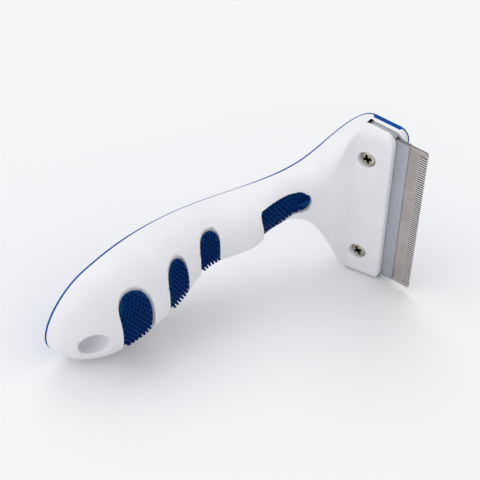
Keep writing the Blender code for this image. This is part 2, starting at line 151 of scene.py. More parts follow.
NUB_PITCH = 1.66                # along the spine
NUB_ROW = 1.32                  # between the staggered rows
NUB_RADIUS = 0.45
NUB_HEIGHT = 1.05
NUB_MARGIN = 0.72               # between the middle of a nub and the edge of its window
NUB_SIDES = 10
NUB_PROFILE = [(1.12, -0.25), (1.0, 0.15), (0.94, NUB_HEIGHT - 0.28), (0.72, NUB_HEIGHT - 0.08)]
SEAT_SHADE = 0.4                # of a nub's height; gives the floor of the groove the painted shade of a nub's stem

# Rounding of the sharp edges that each piece's cuts leave.
EDGE_RADIUS = {"shell": 0.22, "tab": 0.15, "holder": 0.12, "blade": 0.07, "screw": 0.06}

CAMERA_LENS = 86.79
CAMERA_PLACE = (138.763, -270.020, 291.684)  # in the tool's frame, like the two directions
CAMERA_RIGHT = (0.7727, 0.6348, 0.0003)
CAMERA_FORWARD = (-0.4467, 0.5441, -0.7103)

blade_low, blade_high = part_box("blade")
TOOL_ORIGIN = Vector((blade_high[0], (blade_low[1] + blade_high[1]) / 2,
                      (blade_low[2] + blade_high[2]) / 2))
TO_WORLD = Matrix.Translation(TOOL_ORIGIN) @ Matrix.Rotation(LYING_TILT, 4, "X") @ Matrix.Scale(MM, 4)


# ---------------------------------------------------------------- outer form of the tool

def spline_bends(knots, values):
    """Second derivatives of the cubic spline whose first segment is straight."""
    count = len(knots)
    step = np.diff(knots)
    slopes = np.diff(values, axis=0) / step[:, None]
    system = np.eye(count)
    right = np.zeros(values.shape)
    system[1, 1:3] = 2 * step[1], step[1]
    right[1] = 6 * (slopes[1] - slopes[0])
    for i in range(2, count - 1):
        system[i, i - 1:i + 2] = step[i - 1], 2 * (step[i - 1] + step[i]), step[i]
        right[i] = 6 * (slopes[i] - slopes[i - 1])
    return np.linalg.solve(system, right)


STATION_VALUES = np.array(STATIONS, float)
KNOTS = np.concatenate([[0.0], np.cumsum(np.hypot(*np.diff(STATION_VALUES[:, :2], axis=0).T))])
BENDS = spline_bends(KNOTS, STATION_VALUES)
SPINE_LENGTH = float(KNOTS[-1])


def spline_at(s):
    """x, y, half width and depth at the distance s along the spine."""
    i = int(np.clip(np.searchsorted(KNOTS, s) - 1, 0, len(KNOTS) - 2))
    h = KNOTS[i + 1] - KNOTS[i]
    a = (KNOTS[i + 1] - s) / h
    b = 1.0 - a
    bend = np.zeros(4) if i == 0 else ((a ** 3 - a) * BENDS[i] + (b ** 3 - b) * BENDS[i + 1]) * h * h / 6
    return a * STATION_VALUES[i] + b * STATION_VALUES[i + 1] + bend


def spine_frame(s):
    """Point on the spine and the unit direction from the back face towards the front face."""
    point = spline_at(s)[:2]
    ahead = spline_at(min(s + 0.05, SPINE_LENGTH))[:2]
    behind = spline_at(max(s - 0.05, 0.0))[:2]
    along = (ahead - behind) / np.linalg.norm(ahead - behind)
    return point, np.array([-along[1], along[0]])


def end_factor(s):
    """1 along the tool, falling to 0 like a circle at the end of the handle."""
    t = max(0.0, (s - (SPINE_LENGTH - END_ROUNDING)) / END_ROUNDING)
    return math.sqrt(max(0.0, 1.0 - t * t))


def half_width(s):
    """Half width of the tool, with the head's rounded corners and the handle's rounded end."""
    width = min(spline_at(s)[2], HEAD_HALF_WIDTH) * end_factor(s)
    if s < CORNER_RADIUS:
        width -= CORNER_RADIUS - math.sqrt(CORNER_RADIUS ** 2 - (CORNER_RADIUS - s) ** 2)
    return width


def depth(s):
    return spline_at(s)[3] * (0.25 + 0.75 * end_factor(s))


def rounding(s):
    """Share of the half width and of the depth that the rounding takes, and its exponent."""
    return (float(np.interp(s, [0, HEAD_END, NECK], [HEAD_SIDE_RADIUS, 0.12, 1])),
            float(np.interp(s, [0, HEAD_END, NECK], [HEAD_FRONT_RADIUS, 0.5, 1])),
            float(np.interp(s, [0, NECK, SPINE_LENGTH], [2.0, NECK_SQUARENESS, HANDLE_SQUARENESS])))


def crown(s):
    """How far the cover's middle stands out from the back face."""
    return BACK_CROWN * float(np.interp(s, [30, 60], [0, 1])) * end_factor(s)


def front_depth(s, z, inset=0.0, dip=0.0):
    """Depth of the front surface below the back face at the distance z from the middle."""
    w = max(half_width(s) - inset, 0.4)
    d = depth(s) - inset - dip
    side = min(SIDE_WALL, d - 0.3)
    share_z, share_d, exponent = rounding(s)
    flat_z, flat_d = w * (1 - share_z), side + (d - side) * (1 - share_d)
    across = min(max(0.0, abs(z) - flat_z) / (w - flat_z), 1.0)
    return flat_d + (d - flat_d) * (1.0 - across ** exponent) ** (1.0 / exponent)


def front_section(s, back, inset, steps, dip=0.0):
    """Section points (depth, z) of the tool's front form, from +z over the front to -z."""
    w = max(half_width(s) - inset, 0.4)
    d = max(depth(s) - inset - dip, back + 0.6)
    side = min(max(SIDE_WALL, back + 0.2), d - 0.3)
    share_z, share_d, exponent = rounding(s)
    flat_z, flat_d = w * (1 - share_z), side + (d - side) * (1 - share_d)
    half = []
    for i in range(steps // 2 + 1):
        angle = math.pi / 2 * (1 - 2 * i / steps)
        reach = abs(round(math.cos(angle), 9)) ** (2.0 / exponent)
        across = abs(round(math.sin(angle), 9)) ** (2.0 / exponent)
        half.append((flat_d + (d - flat_d) * reach, flat_z + (w - flat_z) * across))
    return ([(back, w), (side, w)] + half + [(deep, -z) for deep, z in half[::-1]]
            + [(side, -w), (back, -w)])


def at_spine(s, d, z):
    point, inward = spine_frame(s)
    return Vector((point[0] + inward[0] * d, point[1] + inward[1] * d, z))


# ---------------------------------------------------------------- mesh helpers

def make_object(bm, name, weld=0.004):
    """Object with the mesh of bm, whose points closer together than weld are merged."""
    if weld:
        bmesh.ops.remove_doubles(bm, verts=bm.verts, dist=weld)
    bmesh.ops.recalc_face_normals(bm, faces=bm.faces)
    mesh = bpy.data.meshes.new(name)
    bm.to_mesh(mesh)
    bm.free()
    obj = bpy.data.objects.new(name, mesh)
    bpy.context.scene.collection.objects.link(obj)
    return obj


def skin(name, rings):
    """Closed solid through rings that have equally many points."""
    bm = bmesh.new()
    rows = [[bm.verts.new(p) for p in ring] for ring in rings]
    count = len(rows[0])
    for lower, upper in zip(rows, rows[1:]):
        for i in range(count):
            j = (i + 1) % count
            bm.faces.new((lower[i], lower[j], upper[j], upper[i]))
    bm.faces.new(rows[0][::-1])
    bm.faces.new(rows[-1])
    return make_object(bm, name)


def loft(name, stations, section):
    """Solid through the sections at the stations along the spine."""
    return skin(name, [[at_spine(s, d, z) for d, z in section(s)] for s in stations])


def prism(name, outline, low, high, plane="xy"):
    """Extrudes an outline in the xy or the xz plane along the remaining axis."""
    def place(p, height):
        return (p[0], p[1], height) if plane == "xy" else (p[0], height, p[1])
    return skin(name, [[place(p, low) for p in outline], [place(p, high) for p in outline]])


def box(name, x, y, z):
    return prism(name, [(x[0], y[0]), (x[1], y[0]), (x[1], y[1]), (x[0], y[1])], z[0], z[1])


def arc(x, y, radius, start, stop, steps):
    """Points of a circular arc; angles in degrees."""
    angles = [math.radians(start + (stop - start) * i / steps) for i in range(steps + 1)]
    return [(x + radius * math.cos(a), y + radius * math.sin(a)) for a in angles]


def rod(name, x, z, radius, y, steps):
    """Cylinder along y."""
    return prism(name, arc(x, z, radius, 0, 360 - 360 / steps, steps - 1), y[0], y[1], plane="xz")


def lathe(name, profile, x, z, steps=64):
    """Body of revolution about an axis along y; profile is (radius, y), from one pole to the other."""
    bm = bmesh.new()
    rings = []
    for r, y in profile:
        if r == 0.0:
            rings.append([bm.verts.new((x, y, z))])
        else:
            rings.append([bm.verts.new((x + r * math.cos(2 * math.pi * i / steps), y,
                                        z + r * math.sin(2 * math.pi * i / steps))) for i in range(steps)])
    for first, second in zip(rings, rings[1:]):
        for i in range(steps):
            j = (i + 1) % steps
            corners = [first[i % len(first)], first[j % len(first)], second[j % len(second)],
                       second[i % len(second)]]
            bm.faces.new(list(dict.fromkeys(corners)))
    return make_object(bm, name)


def bake_modifiers(obj):
    """Replaces the mesh of an object by the mesh that its modifiers make of it."""
    bpy.context.view_layer.update()
    result = bpy.data.meshes.new_from_object(obj.evaluated_get(bpy.context.evaluated_depsgraph_get()))
    obj.modifiers.clear()
    old = obj.data
    obj.data = result
    bpy.data.meshes.remove(old)


def combine(target, tool, operation):
    """Applies one Boolean to target and removes the tool."""
    modifier = target.modifiers.new(operation.lower(), "BOOLEAN")
    modifier.operation = operation
    modifier.object = tool
    modifier.solver = "EXACT"
    bake_modifiers(target)
    bpy.data.objects.remove(tool)
    return target


def cut(target, *tools):
    for tool in tools:
        combine(target, tool, "DIFFERENCE")
    return target


def bevel(obj, width, angle):
    """Rounds the edges that turn by more than the angle, in degrees."""
    modifier = obj.modifiers.new("bevel", "BEVEL")
    modifier.width = width
    modifier.segments = 2
    modifier.limit_method = "ANGLE"
    modifier.angle_limit = math.radians(angle)
    return modifier


def round_edges(obj, width):
    """Rounds the sharp edges of a cut piece and pulls stray corners back to the surface."""
    bm = bmesh.new()
    bm.from_mesh(obj.data)
    bmesh.ops.remove_doubles(bm, verts=bm.verts, dist=0.002)
    surface = BVHTree.FromBMesh(bm)
    bm.to_mesh(obj.data)
    bm.free()
    bevel(obj, width, 34.0).use_clamp_overlap = False
    bake_modifiers(obj)
    for vertex in obj.data.vertices:
        nearest, _, _, distance = surface.find_nearest(vertex.co)
        if distance > width / 2:
            vertex.co = nearest
    bm = bmesh.new()
    bm.from_mesh(obj.data)
    bmesh.ops.dissolve_degenerate(bm, edges=bm.edges, dist=0.001)
    bm.to_mesh(obj.data)
    bm.free()
    return obj


def mark_painted_shade(obj, share):
    """Marks faces of a piece for painted shade in its material, with a share from 0 to 1."""
    mark = obj.data.attributes.new("painted_shade", "FLOAT", "CORNER")
    for face in obj.data.polygons:
        value = float(share(face))
        for corner in face.loop_indices:
            mark.data[corner].value = value


def settle(obj, mat, replaced, smooth_angle=38.0, weighted=False):
    obj.data.transform(TO_WORLD)
    obj.data.materials.clear()
    obj.data.materials.append(mat)
    obj.data.shade_smooth()
    obj.data.set_sharp_from_angle(angle=math.radians(smooth_angle))
    if weighted:
        modifier = obj.modifiers.new("weighted", "WEIGHTED_NORMAL")
        modifier.keep_sharp = True
    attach(obj, "root")
    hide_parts(replaced)


# ---------------------------------------------------------------- shapes

def form_stations(start=0.0, stop=None, pitch=1.1):
    """Distances along the spine, closer together at the rounded ends."""
    stop = SPINE_LENGTH if stop is None else stop
    values = []
    if start < CORNER_RADIUS:
        values += [CORNER_RADIUS * (1 - math.cos(math.radians(a))) for a in range(0, 91, 10)]
    first = max(start, CORNER_RADIUS)
    values += list(np.linspace(first, stop, int((stop - first) / pitch)))
    if start > 0:
        values.append(start)
    if stop > SPINE_LENGTH - 1:
        values += [SPINE_LENGTH - END_ROUNDING * (1 - math.cos(math.radians(a))) for a in range(4, 60, 5)]
    return sorted(set(round(float(v), 3) for v in values))


def outer_form(name, inset, back, steps=56, start=0.0, stop=None, pitch=1.1, dip=lambda s: 0.0):
    return loft(name, form_stations(start, stop, pitch),
                lambda s: front_section(s, back, inset, steps, dip(s)))


def underside_point(s, rise):
    """Point in the side view at a height above the underside of the handle."""
    point, inward = spine_frame(s)
    return tuple(point + inward * (depth(s) - rise))


def window_reach(name, grow=0.0):
    """Start and end of a window along the spine."""
    start, stop = (INDEX_START, INDEX_STOP) if name == INDEX_PAD else SIDE_WINDOWS[name][:2]
    return start - grow, stop + grow


def side_window(name, grow):
    """Cutter of a window that is cut from the side."""
    start, stop, height, lean = SIDE_WINDOWS[name]
    steps = 56
    outline = [underside_point(start - grow, -WINDOW_OVERSHOOT - 1)]
    for i in range(steps + 1):
        angle = math.pi * i / steps
        rise = (height + grow) * math.sin(angle)
        s = (start + stop) / 2 - ((stop - start) / 2 + grow) * math.cos(angle) - lean * rise
        outline.append(underside_point(s, rise))
    outline.append(underside_point(stop + grow, -WINDOW_OVERSHOOT - 1))
    return prism(name + "_cutter", outline, -HEAD_HALF_WIDTH, HEAD_HALF_WIDTH)


def index_half_width(s, grow):
    """Half width of the index finger's window at the distance s along the spine."""
    width = float(np.interp(s, *zip(INDEX_SLIM, INDEX_BROAD))) + grow
    start, stop = window_reach(INDEX_PAD, grow)
    if s < INDEX_ROUND_END:
        width *= math.sqrt(max(0.0, 1 - ((INDEX_ROUND_END - s) / (INDEX_ROUND_END - start)) ** 2))
    if s > stop - INDEX_CORNER:
        width -= INDEX_CORNER - math.sqrt(max(0.0, INDEX_CORNER ** 2 - (s - stop + INDEX_CORNER) ** 2))
    return max(width, 0.05)


def index_middle(s):
    return float(np.interp(s, (INDEX_SLIM[0], INDEX_BROAD[0]), (INDEX_OFFSET, 0)))


def index_window(grow):
    """Cutter of the index finger's window, from below the handle."""
    start, stop = window_reach(INDEX_PAD, grow)
    reach = INDEX_ROUND_END - start
    stations = [start + reach * (1 - math.cos(math.pi / 2 * i / 12)) for i in range(13)]
    stations += list(np.linspace(INDEX_ROUND_END, stop - INDEX_CORNER, 14))[1:]
    stations += [stop - INDEX_CORNER * (1 - math.sin(math.pi / 2 * i / 8)) for i in range(1, 9)]

    def section(s):
        w, middle = index_half_width(s, grow), index_middle(s)
        top, bottom = depth(s) - POCKET_DEPTH - WINDOW_OVERSHOOT, depth(s) + WINDOW_OVERSHOOT
        return [(top, middle + w), (bottom, middle + w), (bottom, middle - w), (top, middle - w)]
    return loft("index_cutter", stations, section)


def window_cutter(name, grow):
    """Cutter of a grip pad's window, grown or shrunk by the given amount."""
    return index_window(grow) if name == INDEX_PAD else side_window(name, grow)


def inside_window(name, s, d, z, margin):
    """Whether a point of the underside lies in the window, at least the margin from its edge."""
    start, stop = window_reach(name, -margin)
    if name == INDEX_PAD:
        return start < s < stop and abs(z - index_middle(s)) < index_half_width(s, -margin)
    _, _, height, lean = SIDE_WINDOWS[name]
    rise = depth(s) - d
    along = (s + lean * rise - (start + stop) / 2) / ((stop - start) / 2)
    return along ** 2 + (rise / (height - margin)) ** 2 < 1.0


def pad_dip(name, s):
    """How much further a grip pad lies below the tool's surface than its usual recess."""
    return float(np.interp(s, *INDEX_SLOPE)) if name == INDEX_PAD else 0.0


def pocket(name):
    """Recess that a grip pad sits in."""
    start, stop = window_reach(name, 8)
    core = outer_form("core", POCKET_DEPTH, 1.0, 32, start, stop, 1.5, lambda s: pad_dip(name, s))
    return cut(window_cutter(name, 0.0), core)


def front_face_y(x, z):
    """y of the head's front face."""
    s = max(0.0, STATIONS[0][0] - x)
    return min(STATIONS[0][1] - front_depth(s, z), -2.2)


def plate_cutter():
    """What is cut from the front half of the head: round corners and a filleted edge."""
    x, z, r = FRONT_PLATE_EDGE, HEAD_HALF_WIDTH, CORNER_RADIUS
    rings = []
    levels = [("top", PLATE_FILLET)] + [("face", a) for a in range(90, -1, -15)] + [("wall", 0.0)]
    for kind, value in levels:
        ring = [(5, z + 5), (5, -z - 5), (x - r, -z - 5)]
        heights = [None, None, None]
        angles = [(-90 + 7.5 * i, -1) for i in range(13)] + [(7.5 * i, 1) for i in range(13)]
        alpha = math.radians(value) if kind == "face" else math.radians(90 if kind == "top" else 0)
        for degrees, side in angles:
            theta = math.radians(degrees)
            fade = math.cos(theta) ** 2
            radius = r - PLATE_FILLET * (1 - math.cos(alpha)) * fade
            px, pz = x - r + radius * math.cos(theta), side * (z - r) + radius * math.sin(theta)
            ring.append((px, pz))
            heights.append(front_face_y(px, pz) + PLATE_FILLET * (1 - math.sin(alpha)) * fade - 0.04)
        ring.append((x - r, z + 5))
        heights.append(None)
        if kind == "top":
            rings.append([(p[0], -20.0, p[1]) for p in ring])
        elif kind == "wall":
            rings.append([(p[0], 0.0, p[1]) for p in ring])
        else:
            base = -3.0 - PLATE_FILLET * math.sin(alpha)
            rings.append([(p[0], base if h is None else h, p[1]) for p, h in zip(ring, heights)])
    return skin("plate_cutter", rings)


def handle_front_x(y, z):
    """x of the handle's front surface near its end."""
    s = SPINE_LENGTH - (y - STATIONS[-1][1])
    for _ in range(12):
        point = at_spine(s, front_depth(s, z), z)
        s += point.y - y
    return at_spine(s, front_depth(s, z), z).x


def hang_bore():
    """Cutter of the hang hole whose mouth blends into the handle's surface."""
    steps = 72
    mouth = HANG_HOLE_RADIUS + HANG_HOLE_FILLET
    angles = [2 * math.pi * i / steps for i in range(steps)]
    surface = [handle_front_x(HANG_HOLE_Y + mouth * math.cos(a), mouth * math.sin(a)) for a in angles]

    def ring(radius, offsets):
        return [(x, HANG_HOLE_Y + radius * math.cos(a), radius * math.sin(a))
                for a, x in zip(angles, offsets)]
    rings = [ring(HANG_HOLE_RADIUS, [-80.0] * steps)]
    for degrees in range(0, 91, 10):
        alpha = math.radians(degrees)
        radius = HANG_HOLE_RADIUS + HANG_HOLE_FILLET * (1 - math.cos(alpha))
        rings.append(ring(radius, [x - HANG_HOLE_FILLET * (1 - math.sin(alpha)) for x in surface]))
    rings.append(ring(mouth, [x + 0.03 for x in surface]))
    rings.append(ring(mouth, [-35.0] * steps))
    return skin("hang_bore", rings)


def tab_outline(grow):
    """Outline (x, y) of the cover's tab, grown by the given amount."""
    top, bottom = STATIONS[0][1] - COVER_RIM / 2, TAB_FRONT - grow
    return [(TAB_X[0] - grow, top), (TAB_X[0] + TAB_SLANT - grow, bottom),
            (TAB_X[1] - TAB_SLANT + grow, bottom), (TAB_X[1] + grow, top)]


def shell_mesh():
    """White shell with its slot, pockets, counterbores, hang hole and tab notches."""
    shell = outer_form("shell", 0.0, COVER_RIM + SEAM)
    cut(shell, hang_bore(), plate_cutter())
    wide = HEAD_HALF_WIDTH + 5
    cut(shell, box("slot", (SLOT_END, 2.0), (SLOT_FRONT, SLOT_BACK), (-wide, wide)))
    for name in GRIP_PADS:
        cut(shell, pocket(name))
    notch = [(x, y + (2.0 if y > 4 else 0.0)) for x, y in tab_outline(SEAM)]
    for side in (-1, 1):
        z = side * SCREW_Z
        cut(shell, rod("counterbore", SCREW_X, z, COUNTERBORE_RADIUS, (-20, COUNTERBORE_FLOOR), 64))
        cut(shell, rod("screw_hole", SCREW_X, z, SCREW_SHANK_RADIUS + SHELL_SCREW_PLAY, (-8, 3.6), 32))
        low, high = sorted((side * (HEAD_HALF_WIDTH - TAB_DEPTH - 0.1), side * wide))
        cut(shell, prism("tab_notch", notch, low, high))
    return round_edges(shell, EDGE_RADIUS["shell"])


def cover_section(s, steps=36):
    """Section points of the cover: a crowned plate with a rounded rim."""
    w = max(half_width(s) - float(np.interp(s, *COVER_INSET)), 0.4)
    bulge = crown(s)
    edge = min(COVER_EDGE, w / 3)
    outer = []
    for i in range(steps + 1):
        z = (w - edge) * math.cos(math.pi * i / steps)
        outer.append((-bulge * (1 - (z / w) ** 2), z))
    rise = edge * 0.9
    right = [(COVER_RIM, w - 0.02), (rise, w), (rise * 0.3, w - edge * 0.3)]
    left = [(rise * 0.3, -w + edge * 0.3), (rise, -w), (COVER_RIM, -w + 0.02)]
    return right + outer + left


def hang_bore_through(steps=64):
    """Straight cutter of the hang hole."""
    ring = [(HANG_HOLE_Y + HANG_HOLE_RADIUS * math.cos(2 * math.pi * i / steps),
             HANG_HOLE_RADIUS * math.sin(2 * math.pi * i / steps)) for i in range(steps)]
    return skin("bore", [[(x, y, z) for y, z in ring] for x in (-80.0, -40.0)])


def cover_mesh():
    """Blue plate that closes the back, with a tab in each side of the head."""
    cover = loft("cover", form_stations(), cover_section)
    for side in (-1, 1):
        low, high = sorted((side * (HEAD_HALF_WIDTH - TAB_DEPTH), side * (HEAD_HALF_WIDTH - 0.01)))
        tab = prism("tab", tab_outline(0.0), low, high)
        combine(cover, round_edges(tab, EDGE_RADIUS["tab"]), "UNION")
    return cut(cover, hang_bore_through())


def section_walk(s, inset, dip, pitch, phase):
    """Points (depth, z) evenly spaced over the underside of one section, from the middle outwards."""
    fine = front_section(s, 2.5, inset, 400, dip)[1:-1]
    middle = len(fine) // 2
    for direction in (1, -1):
        travelled, target = 0.0, phase if direction == 1 else pitch - phase
        index = middle
        while 0 < index < len(fine) - 1:
            if travelled >= target:
                yield fine[index]
                target += pitch
            a, b = fine[index], fine[index + direction]
            travelled += math.hypot(a[0] - b[0], a[1] - b[1])
            index += direction


def surface_normal(s, z, inset, dip):
    """Outward unit normal of the front form at a section point."""
    delta = 0.05
    here = at_spine(s, front_depth(s, z, inset, dip(s)), z)
    ahead = at_spine(s + delta, front_depth(s + delta, z, inset, dip(s + delta)), z)
    across = at_spine(s, front_depth(s, z + delta, inset, dip(s)), z + delta)
    normal = (ahead - here).cross(across - here).normalized()
    _, inward = spine_frame(s)
    return normal if normal.dot(Vector((inward[0], inward[1], 0))) > 0 else -normal


def add_nub(bm, layer, base, normal):
    """Small round stud with a domed top; the layer holds its height from foot to tip."""
    turn = normal.to_track_quat("Z", "Y").to_matrix()
    rings = []
    for scale, height in NUB_PROFILE:
        ring = []
        for i in range(NUB_SIDES):
            a = 2 * math.pi * i / NUB_SIDES
            local = Vector((NUB_RADIUS * scale * math.cos(a), NUB_RADIUS * scale * math.sin(a), height))
            vert = bm.verts.new(base + turn @ local)
            vert[layer] = max(0.0, height) / NUB_HEIGHT
            ring.append(vert)
        rings.append(ring)
    tip = bm.verts.new(base + turn @ Vector((0, 0, NUB_HEIGHT)))
    tip[layer] = 1.0
    for lower, upper in zip(rings, rings[1:]):
        for i in range(NUB_SIDES):
            j = (i + 1) % NUB_SIDES
            bm.faces.new((lower[i], lower[j], upper[j], upper[i]))
    for i in range(NUB_SIDES):
        bm.faces.new((rings[-1][i], rings[-1][(i + 1) % NUB_SIDES], tip))
    bm.faces.new(rings[0][::-1])


def pad_mesh(name):
    """Grip pad: a soft base in its window, covered with round nubs."""
    start, stop = window_reach(name)

    def dip(s):
        return pad_dip(name, s)

    def layer_body(inset, grow):
        body = outer_form(name + "_pad", inset, 1.6, 56, start - 7, stop + 3, 1.0, dip)
        cut(body, outer_form("hollow", POCKET_DEPTH, 1.0, 32, start - 9, stop + 5, 1.5, dip))
        return combine(body, window_cutter(name, grow), "INTERSECT")
    body, seat = layer_body(PAD_RECESS, -PAD_GROOVE), layer_body(GROOVE_FLOOR, -0.04)
    bm = bmesh.new()
    bm.from_mesh(seat.data)
    layer = bm.verts.layers.float.new("rise")
    # The groove floor gets the painted shade of the nubs' stems.
    for vert in bm.verts:
        vert[layer] = SEAT_SHADE
    bm.from_mesh(body.data)
    bpy.data.objects.remove(seat)
    for row, s in enumerate(np.arange(start - 6, stop, NUB_PITCH / 2)):
        for d, z in section_walk(s, PAD_RECESS, dip(s), 2 * NUB_ROW, NUB_ROW * (row % 2)):
            if inside_window(name, s, d, z, NUB_MARGIN):
                add_nub(bm, layer, at_spine(s, d, z), surface_normal(s, z, PAD_RECESS, dip))
    mesh = body.data
    bm.to_mesh(mesh)
    bm.free()
    return body


def blade_outline():
    """Outline (x, z) of the comb blade: a row of fine teeth between two solid guards."""
    half, radius, tip = BLADE_HALF_LENGTH, GUARD_RADIUS, TOOTH_TIP
    root, nook = TOOTH_ROOT, TOOTH_ROOT + TOOTH_NOOK
    outline = [(BLADE_BACK, half), (BLADE_BACK, -half)]
    outline += arc(-radius, -half + radius, radius, -90, 0, 8)
    for i in range(TOOTH_COUNT + 1):
        centre = -TOOTH_ROW + i * TOOTH_PITCH
        low, high = centre - TOOTH_GAP / 2, centre + TOOTH_GAP / 2
        outline += [(0.0, low - tip), (-tip, low), (nook, low), (root, low + TOOTH_NOOK),
                    (root, high - TOOTH_NOOK), (nook, high), (-tip, high), (0.0, high + tip)]
    return outline + arc(-radius, half - radius, radius, 0, 90, 8)


def blade_mesh():
    """Comb blade with its holes for the rivets."""
    outline = blade_outline()
    strip = prism("blade_strip", outline, -BLADE_HALF_THICKNESS, BLADE_HALF_THICKNESS, plane="xz")
    bevel(strip, EDGE_RADIUS["blade"], 60.0)
    bake_modifiers(strip)
    for z in RIVET_Z:
        cut(strip, rod("rivet_hole", RIVET_X, z, RIVET_RADIUS + RIVET_PLAY, (-5, 5), 32))

    # Painted shade: the walls of the slots between the teeth are painted black, the end faces of the
    # guards nearly so.
    def shaded_wall_share(face):
        if abs(face.center.z) > TOOTH_ROW + 0.3:
            return 0.8 * (abs(face.normal.z) > 0.7)
        return abs(face.normal.y) < 0.3 and TOOTH_ROOT - 0.1 < face.center.x < -TOOTH_TIP / 2
    mark_painted_shade(strip, shaded_wall_share)
    return strip


def holder_mesh():
    """Folded steel channel around the blade; its ends get painted shade, a little darker than its faces.
    """
    half = HOLDER_SLOT_HALF_LENGTH
    outline = [(HOLDER_EDGE, HOLDER_HALF), (SLOT_END + 0.3, HOLDER_HALF), (SLOT_END + 0.3, -HOLDER_HALF),
               (HOLDER_EDGE, -HOLDER_HALF)]
    channel = prism("channel", outline, -half, half)
    for side in (-1, 1):
        low, high = sorted((side * HOLDER_HALF_LENGTH, side * (half + 1)))
        cut(channel, box("shoulder", (HOLDER_SHOULDER, 0), (-5, 5), (low, high)))
    round_edges(channel, EDGE_RADIUS["holder"])
    thick, long = BLADE_HALF_THICKNESS + BLADE_PLAY, BLADE_HALF_LENGTH + BLADE_PLAY
    cut(channel, box("fold", (BLADE_BACK - 0.3, 2), (-thick, thick), (-long, long)))
    for z in (-SCREW_Z, SCREW_Z):
        cut(channel, rod("hole", SCREW_X, z, SCREW_SHANK_RADIUS + HOLDER_SCREW_PLAY, (-5, 5), 32))
    for z in RIVET_Z:
        cut(channel, rod("hole", RIVET_X, z, RIVET_RADIUS + RIVET_PLAY, (-5, 5), 32))

    # Painted shade on the end faces, less of it on the ends inside the slot.
    def shaded_end_share(face):
        is_end = abs(face.normal.z) > 0.7
        return is_end * (0.5 if face.center.x > HOLDER_SHOULDER else 0.35)
    mark_painted_shade(channel, shaded_end_share)
    return channel


def screw_mesh(z, turn):
    """Pan-head Phillips screw with a tapered cross recess."""
    seat = COUNTERBORE_FLOOR - 0.05
    top = seat - SCREW_HEAD_HEIGHT - 0.25
    r = SCREW_HEAD_RADIUS
    profile = [(0.0, top), (r * 0.3, top + 0.01), (r * 0.55, top + 0.05), (r * 0.72, top + 0.16),
               (r * 0.85, top + 0.34), (r * 0.94, top + 0.6), (r * 0.99, top + 0.95), (r, top + 1.25),
               (r * 0.985, seat - 0.1), (r * 0.95, seat), (SCREW_SHANK_RADIUS, seat),
               (SCREW_SHANK_RADIUS, 2.3), (0.0, 3.3)]
    screw = lathe("screw", profile, SCREW_X, z)
    cut(screw, cross_recess(z, turn, top))
    round_edges(screw, EDGE_RADIUS["screw"])
    # Painted shade: the faces inside the cross recess are marked to be painted black.
    reach = r * 0.66
    mark_painted_shade(screw, lambda face: top + 0.12 < face.center.y < top + 1.3
               and math.hypot(face.center.x - SCREW_X, face.center.z - z) < reach)
    return screw


def cross_recess(z, turn, top):
    """Cutter of a cross whose arms get shorter and slimmer towards the bottom."""
    cross = []
    for level, reach, width in ((top - 1.0, 2.35, 0.62), (top + 1.15, 1.3, 0.42)):
        ring = []
        for quarter in range(4):
            a = turn + math.pi / 2 * quarter
            along, side = Vector((math.cos(a), math.sin(a))), Vector((-math.sin(a), math.cos(a)))
            nook = (along - side) * width * 1.25
            for p in (nook, along * reach - side * width, along * reach + side * width):
                ring.append((SCREW_X + p.x, level, z + p.y))
        cross.append(ring)
    return skin("cross", cross)


# ---------------------------------------------------------------- materials

